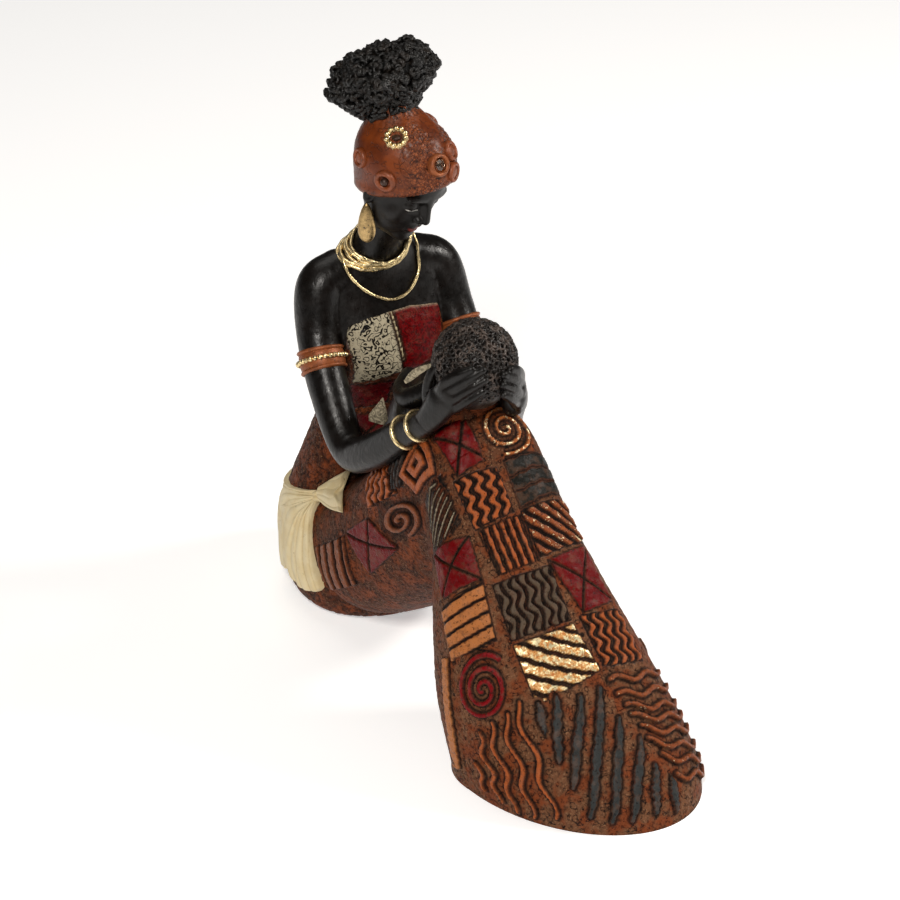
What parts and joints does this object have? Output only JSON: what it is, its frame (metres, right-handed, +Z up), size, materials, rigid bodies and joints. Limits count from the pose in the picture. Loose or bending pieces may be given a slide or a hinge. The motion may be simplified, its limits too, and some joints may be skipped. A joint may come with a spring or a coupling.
{
  "type": "resin statuette",
  "caption": "Painted cast resin figurine of a seated mother in a patchwork dress who cradles an infant on her raised knees.",
  "frame": {"origin": "middle of the footprint box, on the ground under the figure", "axes": "+Z up, the figure faces -Y, her left side is +X"},
  "size_m": [0.0906, 0.2275, 0.2361],
  "materials": {
    "painted_resin": "satin paint over cast resin",
    "clear_glass": "polished"
  },
  "bodies": {
    "root": {"statuette": "painted_resin", "wrap_stone": "clear_glass"}
  },
  "joints": []
}
